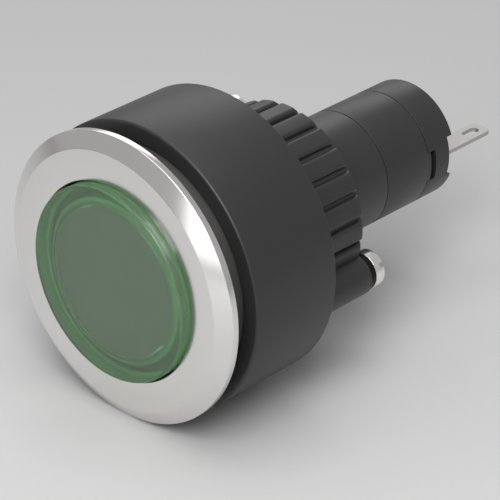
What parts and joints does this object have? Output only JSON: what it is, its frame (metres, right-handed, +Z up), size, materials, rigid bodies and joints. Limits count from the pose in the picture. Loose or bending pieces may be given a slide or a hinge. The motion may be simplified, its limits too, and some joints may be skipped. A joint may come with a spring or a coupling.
{
  "type": "panel pilot light",
  "caption": "Round panel pilot light: a green lens in a bevelled metal ring, a black clamp cup and ribbed ring nut behind the panel, and a rear socket with solder blades.",
  "frame": {"origin": "centre of the metal ring's rear face, which is the front surface of the panel", "axes": "+Y along the lamp axis towards the solder blades, +Z up with the blades level, +X to the right seen from in front"},
  "size_m": [0.035, 0.0593, 0.035],
  "materials": {
    "polished_metal": "bright polished face with fine turning marks",
    "rubber": "matte black",
    "black_plastic": "satin black moulding",
    "nut_plastic": "satin black moulding",
    "green_lens": "translucent green, fine satin front",
    "white_plastic": "milky white",
    "dark_washer": "dark passivated",
    "screw_steel": "bright nickel plate",
    "lamp_glass": "clear glass",
    "brass": "plain brass",
    "fibre_board": "brown insulating board",
    "socket_plastic": "satin black moulding",
    "tinned_blade": "dull tin plate"
  },
  "bodies": {
    "lamp_body": {"body_housing": "black_plastic", "front_ring": "polished_metal", "panel_gasket": "rubber", "socket_front": "socket_plastic", "socket_middle": "socket_plastic", "terminal_block": "socket_plastic", "terminal_right": "tinned_blade", "terminal_left": "tinned_blade", "lamp_globe": "lamp_glass", "lamp_cap": "brass", "lamp_holder": "brass", "contact_plate": "fibre_board", "centre_contact": "brass"},
    "lens_cap": {"lens": "green_lens", "lens_seal": "rubber", "diffuser": "white_plastic"},
    "cup": {"clamp_cup": "black_plastic"},
    "nut": {"ring_nut": "nut_plastic"},
    "washer_right": {"screw_washer_right": "dark_washer"},
    "screw_right": {"clamp_screw_right": "screw_steel"},
    "washer_left": {"screw_washer_left": "dark_washer"},
    "screw_left": {"clamp_screw_left": "screw_steel"}
  },
  "joints": [
    {"name": "lens_pull", "type": "slide", "parent": "lamp_body", "child": "lens_cap", "axis": [0, -1, 0], "range_m": [0, 0.01]},
    {"name": "cup_slide", "type": "slide", "parent": "lamp_body", "child": "cup", "axis": [0, -1, 0], "range_m": [-0.003, 0.0019]},
    {"name": "nut_turn", "type": "hinge", "parent": "cup", "child": "nut", "pos_m": [0, 0.01564, 0], "axis": [0, -1, 0], "range_deg": [-715, 450]},
    {"name": "washer_right_slide", "type": "slide", "parent": "nut", "child": "washer_right", "axis": [0, -1, 0], "range_m": [-0.00293, 0]},
    {"name": "screw_right_turn", "type": "hinge", "parent": "washer_right", "child": "screw_right", "pos_m": [0.01078, 0.0277, -0.00643], "axis": [0, -1, 0], "range_deg": [-2340, 0]},
    {"name": "washer_left_slide", "type": "slide", "parent": "nut", "child": "washer_left", "axis": [0, -1, 0], "range_m": [-0.00293, 0]},
    {"name": "screw_left_turn", "type": "hinge", "parent": "washer_left", "child": "screw_left", "pos_m": [-0.01078, 0.0277, 0.00643], "axis": [0, -1, 0], "range_deg": [-2340, 0]}
  ],
  "couplings": [
    {"joint": "cup_slide", "follows": "nut_turn", "m_per_rad": 0.00023873},
    {"joint": "screw_right_turn", "follows": "washer_right_slide", "rad_per_m": 13963},
    {"joint": "screw_left_turn", "follows": "washer_left_slide", "rad_per_m": 13963}
  ]
}
